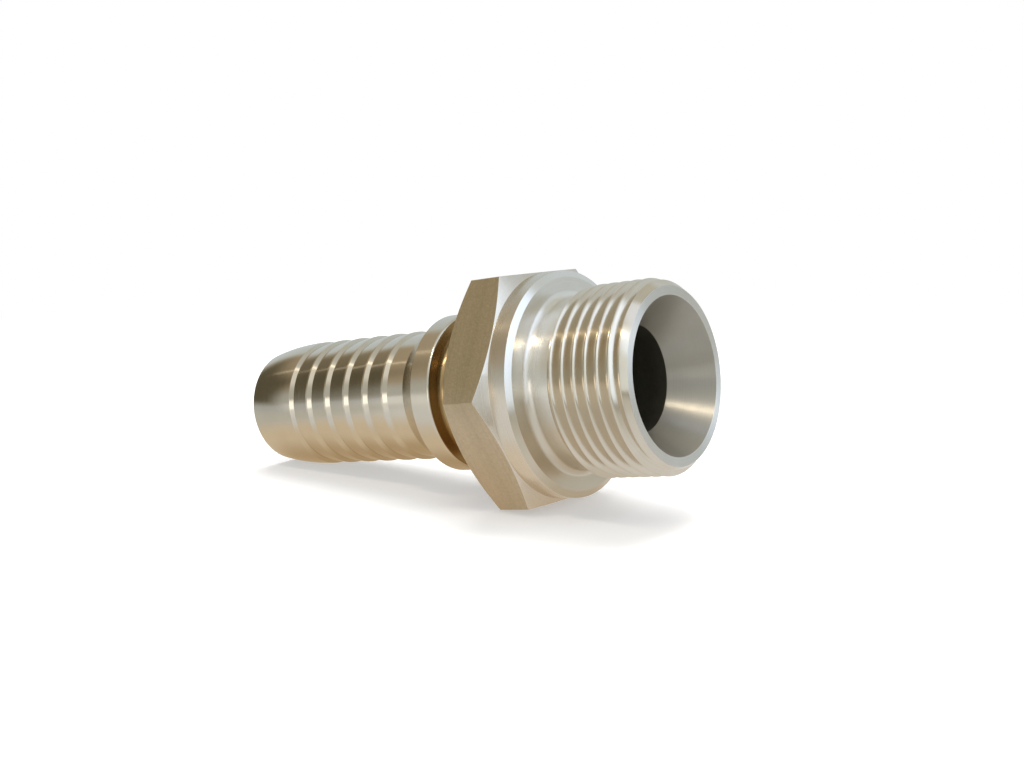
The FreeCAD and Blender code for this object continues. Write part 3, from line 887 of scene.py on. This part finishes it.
def table_material():
    """The table that the metal mirrors: warm close by, paler far off, with painted shadow right under
    the part and painted shade far ahead. Distances are in metres from a line under the part."""
    mat = bpy.data.materials.new("table_seen_in_metal")
    tree = node_tree(mat)
    x, y, _ = add(tree, "SeparateXYZ", Vector=object_place(tree)).outputs
    beyond = maths(tree, "MAXIMUM", minus(tree, maths(tree, "ABSOLUTE", x), HALF_LINE), 0.0)
    apart = diagonal(tree, beyond, y)
    colour = opaque(TABLE_FAR)
    away = spread(tree, apart, *TABLE_AWAY)
    for _, azimuth, wide, soft, tint, far_tint in TABLE:
        turn = turn_from(tree, x, y, azimuth)
        tint = blend(tree, away, opaque(tint), opaque(far_tint))
        colour = blend(tree, near_angle(tree, turn, 0.0, wide, soft), colour, tint)
    for inner, outer, back, front, tail_tint, thread_tint in TABLE_CLOSE:
        tint = blend(tree, spread(tree, x, back, front), opaque(tail_tint), opaque(thread_tint))
        colour = blend(tree, spread(tree, apart, inner, outer), tint, colour)
    add(tree, "OutputMaterial", {}, Surface=even_glow(tree, colour))
    return mat


def seen_directly(tree):
    """1 for rays from the camera and for those that metal or glass sends on."""
    path = add(tree, "LightPath")
    value = plus(tree, path.outputs["Is Camera Ray"], path.outputs["Is Glossy Ray"])
    return maths(tree, "ADD", value, path.outputs["Is Transmission Ray"], clamp=True)


def floor_material(colour):
    """Pale matt floor that the camera sees nearly white and that keeps the part's shadow."""
    mat = bpy.data.materials.new("pale_floor")
    tree = node_tree(mat)
    seen = seen_directly(tree)
    matt = add(tree, "BsdfDiffuse", {}, Color=opaque(colour))
    lift = add(tree, "Emission", {}, Color=WHITE, Strength=times(tree, seen, FLOOR_GLOW))
    close = add(tree, "AddShader", {}, i0=matt.outputs[0], i1=lift.outputs[0])
    away = add(tree, "Emission", {}, Color=WHITE, Strength=seen)
    reach = add(tree, "VectorMath", {"operation": "LENGTH"}, i0=object_place(tree)).outputs["Value"]
    fade = spread(tree, reach, *FLOOR_FADE)
    both = add(tree, "MixShader", {}, i0=fade, i1=close.outputs[0], i2=away.outputs[0])
    add(tree, "OutputMaterial", {}, Surface=both.outputs[0])
    return mat


def rectangle_lamp(name, size, power, colour):
    """A rectangular area lamp at the origin."""
    data = bpy.data.lights.new(name, "AREA")
    data.shape = "RECTANGLE"
    data.size, data.size_y = size
    data.energy = power
    data.color = colour
    lamp = bpy.data.objects.new(name, data)
    bpy.context.scene.collection.objects.link(lamp)
    return lamp


def soft_lamp(name, azimuth, elevation, size, power, colour):
    """A soft lamp that looks at the part and that the metal doesn't mirror."""
    lamp = rectangle_lamp(name, size, power, colour)
    lamp.location = LAMP_AIM + directed(azimuth, elevation) * LAMP_DISTANCE
    lamp.rotation_euler = directed(azimuth, elevation).to_track_quat("Z", "Y").to_euler()
    lamp.visible_glossy = False


def tube_lamp(name, start, stop, width, power, colour):
    """A long narrow lamp between two places above the near side, turned towards the part."""
    start, stop = Vector(start), Vector(stop)
    lamp = rectangle_lamp(name, ((stop - start).length, width), power, colour)
    lamp.location = (start + stop) / 2
    along = (stop - start).normalized()
    back = (lamp.location - along * lamp.location.dot(along)).normalized()
    lamp.rotation_euler = Matrix((along, back.cross(along), back)).transposed().to_euler()


def stage_piece(bm, name, material):
    """A finished stage mesh with its material."""
    obj = as_object(bm, name)
    obj.data.materials.append(material)
    return obj


def make_floor(colour):
    """The floor that the part stands on."""
    bm = bmesh.new()
    bmesh.ops.create_grid(bm, x_segments=2, y_segments=2, size=FLOOR_HALF)
    return stage_piece(bm, "floor", floor_material(colour))


def make_mirrored_table():
    """The table top that only the metal sees."""
    bm = bmesh.new()
    bmesh.ops.create_circle(bm, cap_ends=True, segments=64, radius=ROOM_RADIUS,
                            matrix=Matrix.Translation((0.0, 0.0, TABLE_LIFT)))
    table = stage_piece(bm, "table_seen_in_metal", table_material())
    only_reflected(table)
    return table


def make_mirrored_room():
    """The room that only the metal sees."""
    bm = bmesh.new()
    bmesh.ops.create_uvsphere(bm, u_segments=48, v_segments=24, radius=ROOM_RADIUS)
    bmesh.ops.reverse_faces(bm, faces=bm.faces[:])
    room = stage_piece(bm, "room_seen_in_metal", room_material())
    only_reflected(room)
    return room


def plain_world():
    """A white background that lights the part at a plain level."""
    world = bpy.data.worlds.new("plain_light")
    tree = node_tree(world)
    strength = spread(tree, seen_directly(tree), 0.0, 1.0, WORLD_LIGHT, 1.0)
    glow = add(tree, "Background", {}, Color=WHITE, Strength=strength)
    add(tree, "OutputWorld", {}, Surface=glow.outputs[0])
    return world


def make_camera(stage):
    """The camera, at the photograph's viewing angle."""
    cam = bpy.data.objects.new("camera", bpy.data.cameras.new("camera"))
    cam.data.lens = stage.lens
    cam.data.sensor_width = SENSOR_WIDTH
    cam.data.clip_start = NEAR_CLIP
    cam.location = stage.camera_place
    cam.rotation_euler = stage.camera_turn
    bpy.context.scene.collection.objects.link(cam)
    return cam


class HOSENIPPLE_OT_stage(bpy.types.Operator):
    """Set up the floor, the lamps and the camera"""
    bl_idname = "hose_nipple.stage"
    bl_label = "Stage"

    def execute(self, context):
        scene = context.scene
        stage = scene.nipple_stage
        floor = make_floor(stage.floor_colour)
        table = make_mirrored_table()
        room = make_mirrored_room()
        for lamp in LAMPS:
            soft_lamp(*lamp)
        for tube in TUBES:
            tube_lamp(*tube, stage.tube_colour)
        scene.camera = make_camera(stage)
        scene.world = plain_world()
        scene.view_settings.view_transform = "Standard"
        return {"FINISHED"}


class HOSENIPPLE_PT_panel(bpy.types.Panel):
    """Buttons for the nipple and its stage, with the values they use"""
    bl_label = "Hose nipple"
    bl_idname = "HOSENIPPLE_PT_panel"
    bl_space_type = "VIEW_3D"
    bl_region_type = "UI"
    bl_category = "Nipple"

    def draw(self, context):
        scene = context.scene
        self.layout.operator("hose_nipple.turned_part")
        self.layout.operator("hose_nipple.stage")
        for title, values in (("Sizes", scene.nipple_sizes), ("Colours", scene.nipple_colours),
                              ("Stage", scene.nipple_stage)):
            box = self.layout.box()
            box.label(text=title)
            for name in type(values).__annotations__:
                box.prop(values, name)


CLASSES = (NippleSizes, NippleColours, StageSettings, HOSENIPPLE_OT_turned_part,
           HOSENIPPLE_OT_stage, HOSENIPPLE_PT_panel)


def register():
    for item in CLASSES:
        bpy.utils.register_class(item)
    bpy.types.Scene.nipple_sizes = PointerProperty(type=NippleSizes)
    bpy.types.Scene.nipple_colours = PointerProperty(type=NippleColours)
    bpy.types.Scene.nipple_stage = PointerProperty(type=StageSettings)


def unregister():
    del bpy.types.Scene.nipple_stage
    del bpy.types.Scene.nipple_colours
    del bpy.types.Scene.nipple_sizes
    for item in reversed(CLASSES):
        bpy.utils.unregister_class(item)


def main():
    register()
    bpy.ops.hose_nipple.turned_part()
    bpy.ops.hose_nipple.stage()


if __name__ == "__main__":
    main()
